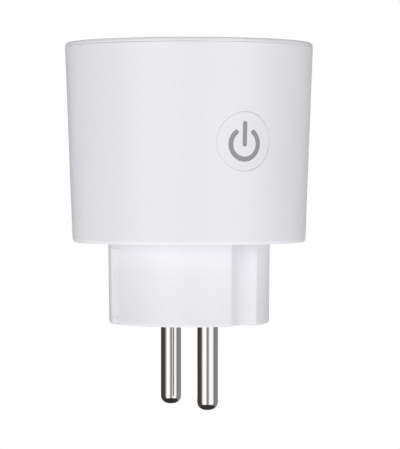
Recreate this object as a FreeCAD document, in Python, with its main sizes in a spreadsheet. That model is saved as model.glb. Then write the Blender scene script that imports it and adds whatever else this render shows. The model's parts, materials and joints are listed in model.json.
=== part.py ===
import FreeCAD, Part
import os
import re

import Sketcher

# Plug-through power meter: a tapered round drum with a recessed mains socket in its top,
# an earthed round plug with two pins under it, and a push button in its side wall.
# Millimetres, +Z from the plug towards the socket.  The origin is the centre of the plug's
# face, the two pins stand on the Y axis and the button faces -Y.

SIZES = {
    # Drum
    "drum_height": 46.58,
    "drum_low_radius": 27.3,
    "drum_top_radius": 29.06,
    "drum_wall": 1.8,
    "drum_floor": 2.0,
    "drum_low_round": 0.85,
    "fit_gap": 0.12,
    # Socket cover
    "cover_edge": 0.96,
    "cover_round": 0.8,
    "cover_seam": 0.04,
    "seam_round": 0.08,
    "skirt_depth": 4.2,
    "skirt_wall": 1.4,
    "snap_drop": 1.6,
    "snap_width": 1.0,
    "snap_depth": 0.35,
    "well_radius": 19.75,
    "well_depth": 17.5,
    "well_wall": 1.6,
    "well_floor": 3.0,
    "well_lip": 0.8,
    "rib_reach": 15.95,
    "rib_width": 6.8,
    "rib_tip_width": 2.0,
    "rib_drop": 2.0,
    "key_angle": 16.5,
    "socket_hole_radius": 2.75,
    "socket_hole_lead": 0.5,
    "clip_window_width": 4.8,
    "clip_window_low": 1.6,
    "clip_window_high": 14.2,
    "post_radius": 1.4,
    "post_ring": 23.6,
    "post_angle": 52.0,
    # Plug
    "plug_length": 19.0,
    "plug_face_radius": 18.77,
    "plug_root_radius": 18.95,
    "plug_round": 0.65,
    "plug_wall": 1.9,
    "plug_face_wall": 3.5,
    "notch_reach": 15.6,
    "notch_width": 7.8,
    "notch_floor_width": 2.4,
    "notch_wall": 1.5,
    "notch_round": 0.7,
    "mouth_bevel": 0.08,
    "channel_reach": 16.6,
    "channel_width": 4.7,
    "channel_shoulder": 1.16,
    "channel_turn": 2.4,
    "channel_foot": 1.75,
    "channel_foot_slope": 0.55,
    "channel_foot_angle": 26.0,
    "flange_radius": 23.4,
    "flange_inner_radius": 21.0,
    "flange_thickness": 1.6,
    "board_ledge": 0.8,
    "pin_boss_radius": 4.2,
    "pin_boss_top": 20.0,
    "screw_boss_radius": 2.3,
    # Pins
    "pin_spacing": 19.0,
    "pin_radius": 2.4,
    "pin_length": 19.7,
    "pin_round": 1.9,
    "pin_shank_radius": 2.2,
    "pin_relief_radius": 2.6,
    "pin_relief_depth": 0.8,
    "pin_tail_radius": 1.2,
    "earth_hole_offset": 10.0,
    "earth_hole_radius": 2.6,
    # Earth path
    "strip": 0.6,
    "strip_bend": 0.2,
    "strip_width": 4.5,
    "plug_clip_face": 18.6,
    "plug_clip_low": 1.79,
    "earth_bar_low": 17.2,
    "tulip_radius": 2.9,
    "tulip_wall": 0.5,
    "tulip_top": 13.5,
    "tulip_slit": 0.8,
    "link_riser": 14.0,
    "link_shelf": 26.5,
    "earth_band_low": 49.0,
    "earth_band_width": 4.0,
    "clip_bow": 16.9,
    # Live contacts
    "contact_width": 4.0,
    "contact_bar": 28.4,
    "contact_top": 40.9,
    # Shutter
    "shutter_radius": 13.8,
    "shutter_thickness": 1.6,
    "shutter_gap": 0.3,
    "shutter_hole_radius": 2.9,
    "shutter_turn": 36.0,
    "shutter_post_radius": 2.4,
    "shutter_bore_radius": 2.45,
    "spring_pocket_radius": 4.6,
    "spring_radius": 3.5,
    "spring_wire": 0.22,
    "spring_gap": 20.0,
    "spring_leg": 0.8,
    "retainer_thickness": 1.7,
    "retainer_radius": 15.6,
    "retainer_rim": 1.4,
    "retainer_ear": 12.9,
    "retainer_ear_radius": 2.6,
    "pilot_radius": 1.02,
    # Screws
    "screw_radius": 1.0,
    "screw_clear_radius": 1.15,
    "screw_head_radius": 2.0,
    "screw_head_height": 1.4,
    "board_screw_offset": 4.4,
    "board_screw_length": 8.0,
    "retainer_screw_length": 6.2,
    "recess_length": 2.4,
    "recess_width": 0.55,
    "recess_depth": 0.7,
    # Circuit boards
    "board_thickness": 1.6,
    "board_radius": 24.8,
    "tail_hole_radius": 1.35,
    "control_face": 21.4,
    "control_thickness": 1.2,
    "control_half_width": 9.0,
    "control_top": 44.9,
    "control_corner": 1.2,
    "header_pitch": 2.54,
    "header_pin": 0.64,
    "lead_radius": 0.4,
    # Button
    "button_offset": -0.22,
    "button_height": 42.3,
    "button_radius": 6.7,
    "button_hole_radius": 6.72,
    "button_hole_round": 0.06,
    "button_sink": 0.03,
    "button_round": 0.2,
    "button_flange_radius": 7.9,
    "button_back": 24.4,
    "button_stop": 25.05,
    "button_cavity_radius": 5.6,
    "button_skin_back": 26.6,
    "boss_radius": 8.6,
    "boss_face": 25.1,
    "guide_radius": 5.5,
    "guide_thickness": 0.7,
    "guide_stem_radius": 1.2,
    "symbol_drop": 0.6,
    "symbol_outer": 3.98,
    "symbol_inner": 2.84,
    "symbol_gap": 39.0,
    "symbol_bar_width": 1.08,
    "symbol_bar_top": 4.57,
    "symbol_bar_low": -1.2,
    # Tactile switch
    "tact_size": 5.0,
    "tact_depth": 1.6,
    "tact_plate": 0.2,
    "tact_bore_radius": 2.0,
    "tact_plunger_radius": 1.5,
    "tact_collar_radius": 1.85,
    "tact_window_radius": 1.6,
    "tact_reach": 0.7,
    "tact_throat": 1.0,
    # Relay
    "relay_low_x": 4.6,
    "relay_high_x": 19.9,
    "relay_half_width": 9.5,
    "relay_height": 15.6,
    "relay_wall": 0.6,
    "relay_rivet": 0.7,
    "relay_leaf": 0.25,
    "relay_base_thickness": 1.4,
    "coil_y": -2.8,
    "coil_radius": 4.7,
    "bobbin_radius": 5.3,
    "bobbin_bore": 1.85,
    "bobbin_barrel_radius": 2.6,
    "bobbin_flange": 0.8,
    "bobbin_top": 36.4,
    "core_radius": 1.8,
    "core_top": 37.7,
    "yoke_half_width": 4.5,
    "yoke_face": 3.2,
    "yoke_thickness": 1.2,
    "yoke_top": 38.2,
    "hinge_bead": 0.3,
    "hinge_hollow": 0.33,
    "armature_low": 38.3,
    "armature_thickness": 0.9,
}

LIVE_SIDES = {"line": -1, "neutral": 1}

# Loose parts on the boards.  Boxes and upright cylinders give their centre in x and y.
BOARD_PARTS = {
    "capacitor_large": {"x": -9.5, "y": 8, "radius": 4, "height": 12},
    "capacitor_small": {"x": -9, "y": 16.5, "radius": 3.15, "height": 11},
    "inductor": {"x": -17.2, "y": 7, "radius": 3, "height": 8.2, "winding": 2.4, "rim": 1.2},
    "film_capacitor": {"x": -8.5, "y": -9.9, "width": 5, "depth": 13, "height": 10, "round": 0.6},
    "varistor": {"x": -16.2, "y": -9.6, "radius": 4.5, "width": 3.6, "rise": 5.2, "pitch": 5},
    "resistor": {"x": -18.9, "y": -3.9, "radius": 1.5, "height": 8.4, "rise": 1, "pitch": 2.5},
    "fuse": {"x": 6.4, "y": 13.6, "radius": 1.9, "width": 8, "rise": 2.4, "pitch": 1.2},
    "bridge_rectifier": {"x": -0.5, "y": 17.5, "width": 5, "depth": 5, "height": 2.4},
    "buck_converter": {"x": -15.65, "y": 13.55, "width": 4.7, "depth": 3.9, "height": 1.5},
    "metering_chip": {"x": 15.5, "y": -13.45, "width": 5, "depth": 3.9, "height": 1.5},
    "shunt": {"x": 8.1, "y": -15, "width": 7, "depth": 3.2, "height": 1.4, "span": 3.4, "lift": 0.7},
    "regulator": {"width": 6.6, "depth": 1.6, "low": 28, "high": 31.5},
    "lamp": {"x": 4.2, "width": 0.8, "depth": 0.6, "height": 1.6},
    "radio": {"width": 16, "depth": 0.8, "low": 28.6, "high": 43.6},
    "shield": {"width": 12, "depth": 2, "low": 28.9, "high": 38.5, "wall": 0.2},
}
for part, sizes in BOARD_PARTS.items():
    for name, size in sizes.items():
        SIZES[f"{part}_{name}"] = size

doc = FreeCAD.newDocument("power_meter")
sheet = doc.addObject("Spreadsheet::Sheet", "Sizes")
for row, (alias, size) in enumerate(SIZES.items(), start=1):
    sheet.set(f"A{row}", alias)
    sheet.set(f"B{row}", str(size))
    sheet.setAlias(f"B{row}", alias)
doc.recompute()

nodes = {}


# Formulas -------------------------------------------------------------------------------

def formula(text):
    """A formula in the sheet's names, ready for setExpression."""
    def spell(match):
        word = match.group(0)
        return f"Sizes.{word}" if word in SIZES else word
    return re.sub(r"[a-z_]+", spell, str(text))


def number(text):
    """The value of a formula in millimetres or degrees."""
    return float(sheet.evalExpression(formula(text)))


def bind(thing, **formulas):
    """Ties properties of an object to formulas."""
    for name, text in formulas.items():
        thing.setExpression(name, formula(text))


def drum_radius(height, inset="0"):
    """The drum's outer radius at a height, less an inset."""
    slope = "(drum_top_radius - drum_low_radius) / drum_height"
    return f"(drum_low_radius + ({height} - plug_length) * {slope} - ({inset}))"


# Heights that several pieces share
DRUM_TOP = "(plug_length + drum_height)"
DRUM_FLOOR_TOP = "(plug_length + drum_floor)"
COVER_LOW = f"({DRUM_TOP} - cover_edge)"
SHELL_TOP = f"({COVER_LOW} - cover_seam)"
SNAP_TOP = f"({COVER_LOW} - snap_drop)"
SNAP_LOW = f"({SNAP_TOP} - snap_width)"
WELL_TOP = f"({DRUM_TOP} - well_depth)"
WELL_UNDER = f"({WELL_TOP} - well_floor)"
WELL_OUTER = "(well_radius + well_wall)"
FLANGE_TOP = f"({DRUM_FLOOR_TOP} + flange_thickness)"
BOARD_LOW = f"({FLANGE_TOP} + board_ledge)"
BOARD_TOP = f"({BOARD_LOW} + board_thickness)"
SHUTTER_TOP = f"({WELL_UNDER} - shutter_gap)"
SHUTTER_LOW = f"({SHUTTER_TOP} - shutter_thickness)"
RETAINER_TOP = f"({SHUTTER_LOW} - shutter_gap - 0.1)"
RETAINER_LOW = f"({RETAINER_TOP} - retainer_thickness)"
TACT_FACE = "(control_face + tact_depth + tact_plate)"
TACT_TIP = f"({TACT_FACE} + tact_reach)"


# Sketches and features ------------------------------------------------------------------

def new_body(name):
    """An empty body that becomes the node of that name."""
    body = doc.addObject("PartDesign::Body", name)
    nodes[name] = body
    doc.recompute()
    return body


def new_sketch(body, plane, offset="0", turn="0"):
    """A sketch on one of the body's origin planes, lifted and turned by formulas."""
    sketch = body.newObject("Sketcher::SketchObject", f"{body.Name}_sketch")
    origin_plane = next(item for item in body.Origin.OriginFeatures if item.Role == plane)
    sketch.AttachmentSupport = [(origin_plane, "")]
    sketch.MapMode = "FlatFace"
    sketch.setExpression("AttachmentOffset.Base.z", formula(offset))
    sketch.setExpression("AttachmentOffset.Rotation.Angle", formula(turn))
    return sketch


def hold(sketch, curve, point, across, up):
    """Fixes one point of a curve at the place that two formulas give."""
    for kind, text, axis in (("DistanceX", across, -2), ("DistanceY", up, -1)):
        if abs(number(text)) < 1e-9:
            sketch.addConstraint(Sketcher.Constraint("PointOnObject", curve, point, axis))
        else:
            rule = Sketcher.Constraint(kind, -1, 1, curve, point, number(text))
            index = sketch.addConstraint(rule)
            sketch.setExpression(f"Constraints[{index}]", formula(text))


def outline(sketch, *corners):
    """A closed outline of straight sides through corners given by formulas."""
    places = [FreeCAD.Vector(number(across), number(up), 0) for across, up in corners]
    first = sketch.GeometryCount
    for start, end in zip(places, places[1:] + places[:1]):
        sketch.addGeometry(Part.LineSegment(start, end))
    for index in range(len(corners)):
        following = first + (index + 1) % len(corners)
        sketch.addConstraint(Sketcher.Constraint("Coincident", first + index, 2, following, 1))
    for index, (across, up) in enumerate(corners):
        hold(sketch, first + index, 1, across, up)


def rectangle(sketch, left, low, right, high):
    """An upright rectangle between two corners given by formulas."""
    outline(sketch, (left, low), (right, low), (right, high), (left, high))


def circle(sketch, radius, across="0", up="0"):
    """A circle whose centre and radius are formulas."""
    centre = FreeCAD.Vector(number(across), number(up), 0)
    up_axis = FreeCAD.Vector(0, 0, 1)
    curve = sketch.addGeometry(Part.Circle(centre, up_axis, number(radius)))
    hold(sketch, curve, 3, across, up)
    index = sketch.addConstraint(Sketcher.Constraint("Radius", curve, number(radius)))
    sketch.setExpression(f"Constraints[{index}]", formula(radius))


def add_feature(body, kind, sketch):
    """A sketch-based feature at the end of the body."""
    feature = body.newObject(f"PartDesign::{kind}", f"{body.Name}_{kind.lower()}")
    feature.Profile = sketch
    feature.Refine = True
    body.Tip = feature
    return feature


def volume_of(body):
    """The body's volume so far, zero while it is empty."""
    doc.recompute()
    return 0.0 if body.Shape.isNull() else body.Shape.Volume


def checked(body, before, grows):
    """Recomputes and stops if a feature added or removed nothing."""
    change = volume_of(body) - before
    if (change if grows else -change) < 1e-6:
        raise RuntimeError(f"{body.Name}: the last feature changed nothing")


def pad(body, sketch, length, both_ways=False, backwards=False):
    """Adds material along the sketch's normal."""
    before = volume_of(body)
    feature = add_feature(body, "Pad", sketch)
    bind(feature, Length=length)
    feature.Midplane = both_ways
    feature.Reversed = backwards
    checked(body, before, True)


def pocket(body, sketch, length, both_ways=False, backwards=False):
    """Removes material against the sketch's normal, or along it when backwards."""
    before = volume_of(body)
    feature = add_feature(body, "Pocket", sketch)
    bind(feature, Length=length)
    feature.Midplane = both_ways
    feature.Reversed = backwards
    checked(body, before, False)


def turned(body, sketch, angle="360", cuts=False, both_ways=False):
    """Revolves a sketch about the body's Z axis, as material or as a groove."""
    before = volume_of(body)
    feature = add_feature(body, "Groove" if cuts else "Revolution", sketch)
    axis = next(item for item in body.Origin.OriginFeatures if item.Role == "Z_Axis")
    feature.ReferenceAxis = (axis, [""])
    feature.Midplane = both_ways
    bind(feature, Angle=angle)
    checked(body, before, not cuts)


def soften(body, kind, size, wanted):
    """Rounds or chamfers the edges of the body that a test picks."""
    before = volume_of(body)
    edges = [f"Edge{index}" for index, edge in enumerate(body.Shape.Edges, start=1) if wanted(edge)]
    if not edges:
        raise RuntimeError(f"{body.Name}: no edge to soften")
    base = body.Tip
    feature = body.newObject(f"PartDesign::{kind}", f"{body.Name}_{kind.lower()}")
    feature.Base = (base, edges)
    bind(feature, **{"Radius" if kind == "Fillet" else "Size": size})
    body.Tip = feature
    if abs(volume_of(body) - before) < 1e-7:
        raise RuntimeError(f"{body.Name}: the softened edges changed nothing")


def ring_at(radius, height):
    """An edge test: a circle about the Z axis of this radius at this height."""
    def wanted(edge):
        curve = edge.Curve
        return (
            isinstance(curve, Part.Circle)
            and abs(curve.Radius - number(radius)) < 0.01
            and abs(curve.Center.z - number(height)) < 0.01
            and abs(curve.Axis.z) > 0.99
        )
    return wanted


def upright(edge):
    """An edge test: a straight edge along Z."""
    return isinstance(edge.Curve, Part.Line) and abs(edge.tangentAt(edge.FirstParameter).z) > 0.99


def slot_place(edge, turn):
    """The middle of an edge as seen from axes turned about Z."""
    back = FreeCAD.Rotation(FreeCAD.Vector(0, 0, 1), -number(turn))
    return back.multVec(edge.CenterOfMass)


def slot_corner(width, reach, turn):
    """An edge test: the upright corners at the bottom of two opposite slots."""
    def wanted(edge):
        place = slot_place(edge, turn)
        return (
            upright(edge)
            and abs(abs(place.x) - number(width) / 2) < 0.01
            and abs(abs(place.y) - number(reach)) < 0.01
        )
    return wanted


# Primitives and booleans ----------------------------------------------------------------

def block(name, low, high):
    """A box between two corners given by formulas."""
    solid = doc.addObject("Part::Box", name)
    spans = [f"({top}) - ({bottom})" for bottom, top in zip(low, high)]
    bind(solid, Length=spans[0], Width=spans[1], Height=spans[2])
    for axis, text in zip("xyz", low):
        solid.setExpression(f"Placement.Base.{axis}", formula(text))
    return solid


TURNS = {
    "z": FreeCAD.Rotation(),
    "x": FreeCAD.Rotation(FreeCAD.Vector(0, 1, 0), 90),
    "-y": FreeCAD.Rotation(FreeCAD.Vector(1, 0, 0), 90),
}


def rod(name, radius, length, start, axis="z"):
    """A cylinder from a start point along an axis."""
    solid = doc.addObject("Part::Cylinder", name)
    solid.Placement.Rotation = TURNS[axis]
    bind(solid, Radius=radius, Height=length)
    for letter, text in zip("xyz", start):
        solid.setExpression(f"Placement.Base.{letter}", formula(text))
    return solid


def tube(name, outer, inner, length, start, axis="z"):
    """A round sleeve, open at both ends."""
    hull = rod(f"{name}_hull", outer, length, start, axis)
    core = rod(f"{name}_core", inner, length, start, axis)
    return cut(f"{name}_sleeve", hull, core)


def fused(name, *pieces):
    """One solid from several touching ones."""
    solid = doc.addObject("Part::MultiFuse", name)
    solid.Shapes = list(pieces)
    solid.Refine = True
    return solid


def cut(name, base, *tools):
    """A solid less one or more tools."""
    solid = doc.addObject("Part::Cut", name)
    solid.Base = base
    solid.Tool = tools[0] if len(tools) == 1 else fused(f"{name}_tools", *tools)
    solid.Refine = True
    return solid


def rounded(name, base, size, wanted):
    """A solid with the edges that a test picks rounded to a size from the sheet."""
    doc.recompute()
    solid = doc.addObject("Part::Fillet", name)
    solid.Base = base
    radius = number(size)
    solid.Edges = [
        (index, radius, radius)
        for index, edge in enumerate(base.Shape.Edges, start=1)
        if wanted(edge)
    ]
    return solid


def group(name, *pieces):
    """Identical or matched pieces that share one node."""
    solids = doc.addObject("Part::Compound", name)
    solids.Links = list(pieces)
    return solids


def node(name, piece):
    """Files a finished piece under its node name."""
    piece.Label = name
    nodes[name] = piece


# Housing --------------------------------------------------------------------------------

def make_main_shell():
    """The tapered drum: a cup with a hole for the plug and one for the button."""
    body = new_body("main_shell")
    wall = new_sketch(body, "XZ_Plane")
    hole = "plug_root_radius + fit_gap"
    outline(
        wall,
        (hole, "plug_length"),
        ("drum_low_radius", "plug_length"),
        (drum_radius(SHELL_TOP), SHELL_TOP),
        (drum_radius(SHELL_TOP, "drum_wall"), SHELL_TOP),
        (drum_radius(SNAP_TOP, "drum_wall"), SNAP_TOP),
        (drum_radius(SNAP_TOP, "drum_wall - snap_depth - fit_gap"), SNAP_TOP),
        (drum_radius(SNAP_LOW, "drum_wall - snap_depth - fit_gap"), SNAP_LOW),
        (drum_radius(SNAP_LOW, "drum_wall"), SNAP_LOW),
        (drum_radius(DRUM_FLOOR_TOP, "drum_wall"), DRUM_FLOOR_TOP),
        (hole, DRUM_FLOOR_TOP),
    )
    turned(body, wall)
    boss = new_sketch(body, "XZ_Plane", "boss_face")
    circle(boss, "boss_radius", "button_offset", "button_height")
    pad(body, boss, "drum_wall * 3")
    outside = new_sketch(body, "XZ_Plane")
    outline(
        outside,
        ("drum_low_radius", "plug_length"),
        ("drum_top_radius * 1.3", "plug_length"),
        ("drum_top_radius * 1.3", SHELL_TOP),
        (drum_radius(SHELL_TOP), SHELL_TOP),
    )
    turned(body, outside, cuts=True)
    opening = new_sketch(body, "XZ_Plane", "control_face")
    circle(opening, "button_hole_radius", "button_offset", "button_height")
    pocket(body, opening, "drum_low_radius", backwards=True)
    soften(body, "Fillet", "drum_low_round", ring_at("drum_low_radius", "plug_length"))
    soften(body, "Fillet", "seam_round", ring_at(drum_radius(SHELL_TOP), SHELL_TOP))

    def hole_lip(edge):
        middle = edge.CenterOfMass
        return (
            middle.y < -number("boss_face") - number("drum_wall") / 2
            and abs(middle.z - number("button_height")) < number("drum_wall")
            and edge.Length > number("button_hole_radius")
        )
    soften(body, "Fillet", "button_hole_round", hole_lip)


def make_socket_cover():
    """The top plate with the socket well, its guide ribs, skirt and hold-down posts."""
    body = new_body("socket_cover")
    section = new_sketch(body, "XZ_Plane")
    skirt_low = f"{COVER_LOW} - skirt_depth"
    outline(
        section,
        ("0", WELL_UNDER),
        (WELL_OUTER, WELL_UNDER),
        (WELL_OUTER, COVER_LOW),
        (drum_radius(COVER_LOW, "drum_wall + skirt_wall"), COVER_LOW),
        (drum_radius(COVER_LOW, "drum_wall + skirt_wall"), skirt_low),
        (drum_radius(skirt_low, "drum_wall + fit_gap"), skirt_low),
        (drum_radius(SNAP_LOW, "drum_wall + fit_gap"), f"{SNAP_LOW} + fit_gap"),
        (drum_radius(SNAP_LOW, "drum_wall - snap_depth"), f"{SNAP_LOW} + snap_width / 2"),
        (drum_radius(SNAP_TOP, "drum_wall + fit_gap"), f"{SNAP_TOP} - fit_gap"),
        (drum_radius(COVER_LOW, "drum_wall + fit_gap"), COVER_LOW),
        (drum_radius(COVER_LOW), COVER_LOW),
        ("drum_top_radius", DRUM_TOP),
        ("well_radius", DRUM_TOP),
        ("well_radius", WELL_TOP),
        ("0", WELL_TOP),
    )
    turned(body, section)
    soften(body, "Fillet", "cover_round", ring_at("drum_top_radius", DRUM_TOP))
    soften(body, "Fillet", "seam_round", ring_at(drum_radius(COVER_LOW), COVER_LOW))
    soften(body, "Fillet", "well_lip", ring_at("well_radius", DRUM_TOP))
    ribs = new_sketch(body, "XY_Plane", WELL_TOP, "key_angle")
    rib_root = "(well_radius + well_wall / 2)"
    for side in ("", "-"):
        outline(
            ribs,
            ("-rib_tip_width / 2", f"{side}rib_reach"),
            ("rib_tip_width / 2", f"{side}rib_reach"),
            ("rib_width / 2", f"{side}{rib_root}"),
            ("-rib_width / 2", f"{side}{rib_root}"),
        )
    pad(body, ribs, "well_depth - rib_drop")
    posts = new_sketch(body, "XY_Plane", BOARD_TOP)
    for across in ("", "-"):
        for up in ("", "-"):
            circle(
                posts,
                "post_radius",
                f"{across}post_ring * cos(post_angle)",
                f"{up}post_ring * sin(post_angle)",
            )
    pad(body, posts, f"{COVER_LOW} - {BOARD_TOP} + cover_edge / 2")
    windows = new_sketch(body, "YZ_Plane")
    rectangle(
        windows,
        "-clip_window_width / 2",
        f"{WELL_TOP} + clip_window_low",
        "clip_window_width / 2",
        f"{WELL_TOP} + clip_window_high",
    )
    pocket(body, windows, f"2 * ({WELL_OUTER} + fit_gap)", both_ways=True)
    holes = new_sketch(body, "XY_Plane", WELL_TOP)
    for side in LIVE_SIDES.values():
        circle(holes, "socket_hole_radius", "0", f"{side} * pin_spacing / 2")
    pocket(body, holes, "well_floor")
    soften(body, "Chamfer", "socket_hole_lead", ring_at("socket_hole_radius", WELL_TOP))
    pilots = new_sketch(body, "XY_Plane", WELL_UNDER)
    for side in ("", "-"):
        circle(pilots, "pilot_radius", f"{side}retainer_ear", f"{side}retainer_ear")
    pocket(body, pilots, "well_floor * 0.8", backwards=True)


def bevelled_slot(sketch, floor_width, width, reach, side):
    """A slot from the plug's outside to a reach, its mouth bevelled on both edges."""
    edge = f"sqrt(plug_face_radius ^ 2 - ({width}) ^ 2 / 4)"
    steps = (
        (f"({floor_width}) / 2", reach),
        (f"({width}) / 2", f"({edge} - mouth_bevel)"),
        (f"({width}) / 2 + 2 * mouth_bevel", f"({edge} + mouth_bevel)"),
        (f"({width}) / 2 + 2 * mouth_bevel", "(plug_root_radius * 1.2)"),
    )
    right = [(across, f"{side}{up}") for across, up in steps]
    left = [(f"-({across})", f"{side}{up}") for across, up in reversed(steps)]
    outline(sketch, *right, *left)


def channel_feet(body):
    """The sloped blocks that close the lower ends of the earth channels, under the clip."""
    feet = new_sketch(body, "XZ_Plane")
    for side in ("", "-"):
        outline(
            feet,
            (f"{side}(channel_reach - notch_wall / 2)", "0"),
            (f"{side}(plug_clip_face - channel_foot_slope)", "0"),
            (f"{side}plug_clip_face", "channel_foot"),
            (f"{side}(channel_reach - notch_wall / 2)", "channel_foot"),
        )
    turned(body, feet, "channel_foot_angle", both_ways=True)


def make_plug_base():
    """The plug: a hollow round boss with two key notches and two earth channels."""
    body = new_body("plug_base")
    section = new_sketch(body, "XZ_Plane")
    outline(
        section,
        ("0", "0"),
        ("plug_face_radius", "0"),
        ("plug_root_radius", "plug_length"),
        ("plug_root_radius", DRUM_FLOOR_TOP),
        ("flange_radius", DRUM_FLOOR_TOP),
        ("flange_radius", BOARD_LOW),
        ("flange_inner_radius", BOARD_LOW),
        ("flange_inner_radius", FLANGE_TOP),
        ("0", FLANGE_TOP),
    )
    turned(body, section)
    soften(body, "Fillet", "plug_round", ring_at("plug_face_radius", "0"))
    cavity = new_sketch(body, "XY_Plane", FLANGE_TOP)
    circle(cavity, "plug_face_radius - plug_wall")
    pocket(body, cavity, f"{FLANGE_TOP} - plug_face_wall")
    wall_reach = "plug_face_radius - plug_wall / 2"
    notch_walls = new_sketch(body, "XY_Plane", "plug_face_wall", "key_angle")
    for side in ("", "-"):
        rectangle(
            notch_walls,
            "-(notch_width / 2 + notch_wall)",
            f"{side}(notch_reach - notch_wall)",
            "notch_width / 2 + notch_wall",
            f"{side}({wall_reach} - notch_wall / 2)",
        )
    pad(body, notch_walls, "plug_length + drum_floor - plug_face_wall")
    channel_walls = new_sketch(body, "XY_Plane", "plug_face_wall", "-channel_turn")
    for side in ("", "-"):
        rectangle(
            channel_walls,
            f"{side}(channel_reach - notch_wall)",
            "-(channel_width / 2 + notch_wall)",
            f"{side}({wall_reach})",
            "channel_width / 2 + notch_wall",
        )
    pad(body, channel_walls, "plug_length - plug_face_wall")
    for side in LIVE_SIDES.values():
        pin_boss = new_sketch(body, "XY_Plane", "plug_face_wall")
        circle(pin_boss, "pin_boss_radius", "0", f"{side} * pin_spacing / 2")
        pad(body, pin_boss, "pin_boss_top - plug_face_wall")
        screw_boss = new_sketch(body, "XY_Plane", "plug_face_wall")
        circle(screw_boss, "screw_boss_radius", "0", f"{side} * board_screw_offset")
        pad(body, screw_boss, f"{BOARD_LOW} - plug_face_wall")
    notches = new_sketch(body, "XY_Plane", "0", "key_angle")
    for side in ("", "-"):
        bevelled_slot(notches, "notch_floor_width", "notch_width", "notch_reach", side)
    pocket(body, notches, "plug_length", backwards=True)
    soften(body, "Fillet", "notch_round", slot_corner("notch_floor_width", "notch_reach", "key_angle"))
    channels = new_sketch(body, "XY_Plane", "0", "90 - channel_turn")
    for side in ("", "-"):
        bevelled_slot(channels, "channel_width", "channel_width", "channel_reach", side)
    pocket(body, channels, "plug_length - channel_shoulder", backwards=True)
    bar_slot = new_sketch(body, "XY_Plane", "earth_bar_low + strip + fit_gap", "-channel_turn")
    rectangle(
        bar_slot,
        "-(channel_reach + fit_gap)",
        "-(strip_width / 2 + fit_gap)",
        "channel_reach + fit_gap",
        "strip_width / 2 + fit_gap",
    )
    pocket(body, bar_slot, "strip + 2 * fit_gap")
    channel_feet(body)
    for side in LIVE_SIDES.values():
        shank = new_sketch(body, "XY_Plane")
        circle(shank, "pin_shank_radius", "0", f"{side} * pin_spacing / 2")
        pocket(body, shank, "pin_boss_top", backwards=True)
        relief = new_sketch(body, "XY_Plane")
        circle(relief, "pin_relief_radius", "0", f"{side} * pin_spacing / 2")
        pocket(body, relief, "pin_relief_depth", backwards=True)
        pilot = new_sketch(body, "XY_Plane", BOARD_LOW)
        circle(pilot, "pilot_radius", "0", f"{side} * board_screw_offset")
        pocket(body, pilot, "board_screw_length")
    earth_hole = new_sketch(body, "XY_Plane")
    circle(earth_hole, "earth_hole_radius", "earth_hole_offset", "0")
    pocket(body, earth_hole, "plug_face_wall", backwards=True)


def make_housing():
    make_main_shell()
    make_socket_cover()
    make_plug_base()


# Pins, contacts and earth path ----------------------------------------------------------

def make_pins():
    """The two round mains pins: a nickel-plated pin, a shank in the boss and a solder tail."""
    for live, side in LIVE_SIDES.items():
        y = f"{side} * pin_spacing / 2"
        shaft = rod(f"{live}_shaft", "pin_radius", "pin_length", ("0", y, "-pin_length"))
        shank = rod(f"{live}_shank", "pin_shank_radius", "pin_boss_top", ("0", y, "0"))
        tail = rod(f"{live}_tail", "pin_tail_radius", f"{BOARD_TOP} + 0.8", ("0", y, "0"))
        whole = fused(f"{live}_whole", shaft, shank, tail)

        def tip(edge):
            curve = edge.Curve
            low = number("-pin_length")
            return isinstance(curve, Part.Circle) and abs(curve.Center.z - low) < 0.01
        node(f"{live}_pin", rounded(f"{live}_pin", whole, "pin_round", tip))


def make_plug_earth_strap():
    """One bent strip: a bar across the plug and a clip down each side channel."""
    body = new_body("plug_earth_strap")
    section = new_sketch(body, "XZ_Plane")
    face = "plug_clip_face"
    back = "(plug_clip_face - strip)"
    bar_top = "(earth_bar_low + strip)"
    outline(
        section,
        (f"-{face}", "plug_clip_low"),
        (f"-{back}", "plug_clip_low"),
        (f"-{back}", "earth_bar_low"),
        (back, "earth_bar_low"),
        (back, "plug_clip_low"),
        (face, "plug_clip_low"),
        (face, bar_top),
        (f"-{face}", bar_top),
    )
    pad(body, section, "strip_width", both_ways=True)
    bend = number(bar_top)

    def corner(edge):
        middle = edge.CenterOfMass
        return (
            abs(abs(middle.x) - number(face)) < 0.01
            and abs(middle.z - bend) < 0.01
            and edge.Length > number("strip_width") * 0.9
        )
    soften(body, "Fillet", "strip_bend", corner)
    body.setExpression("Placement.Rotation.Angle", formula("-channel_turn"))


def make_plug_earth_tulip():
    """The slit sleeve that takes a socket's earth pin, closed by a stud to the bar."""
    centre = ("earth_hole_offset", "0")
    low = "(plug_face_wall + fit_gap)"
    sleeve = tube(
        "earth_tulip", "tulip_radius", "tulip_radius - tulip_wall",
        f"tulip_top - {low}", (*centre, low),
    )
    lid = rod("earth_tulip_lid", "tulip_radius", "tulip_wall * 2", (*centre, "tulip_top"))
    stud_low = "tulip_top + tulip_wall"
    stud = rod(
        "earth_tulip_stud", "tulip_radius / 2", f"earth_bar_low - ({stud_low})",
        (*centre, stud_low),
    )
    slit = block(
        "earth_tulip_slit",
        ("earth_hole_offset - tulip_radius * 1.2", "-tulip_slit / 2", low),
        ("earth_hole_offset + tulip_radius * 1.2", "tulip_slit / 2", "tulip_top - tulip_wall * 3"),
    )
    whole = fused("earth_tulip_whole", sleeve, lid, stud)
    node("plug_earth_tulip", cut("plug_earth_tulip", whole, slit))


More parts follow.
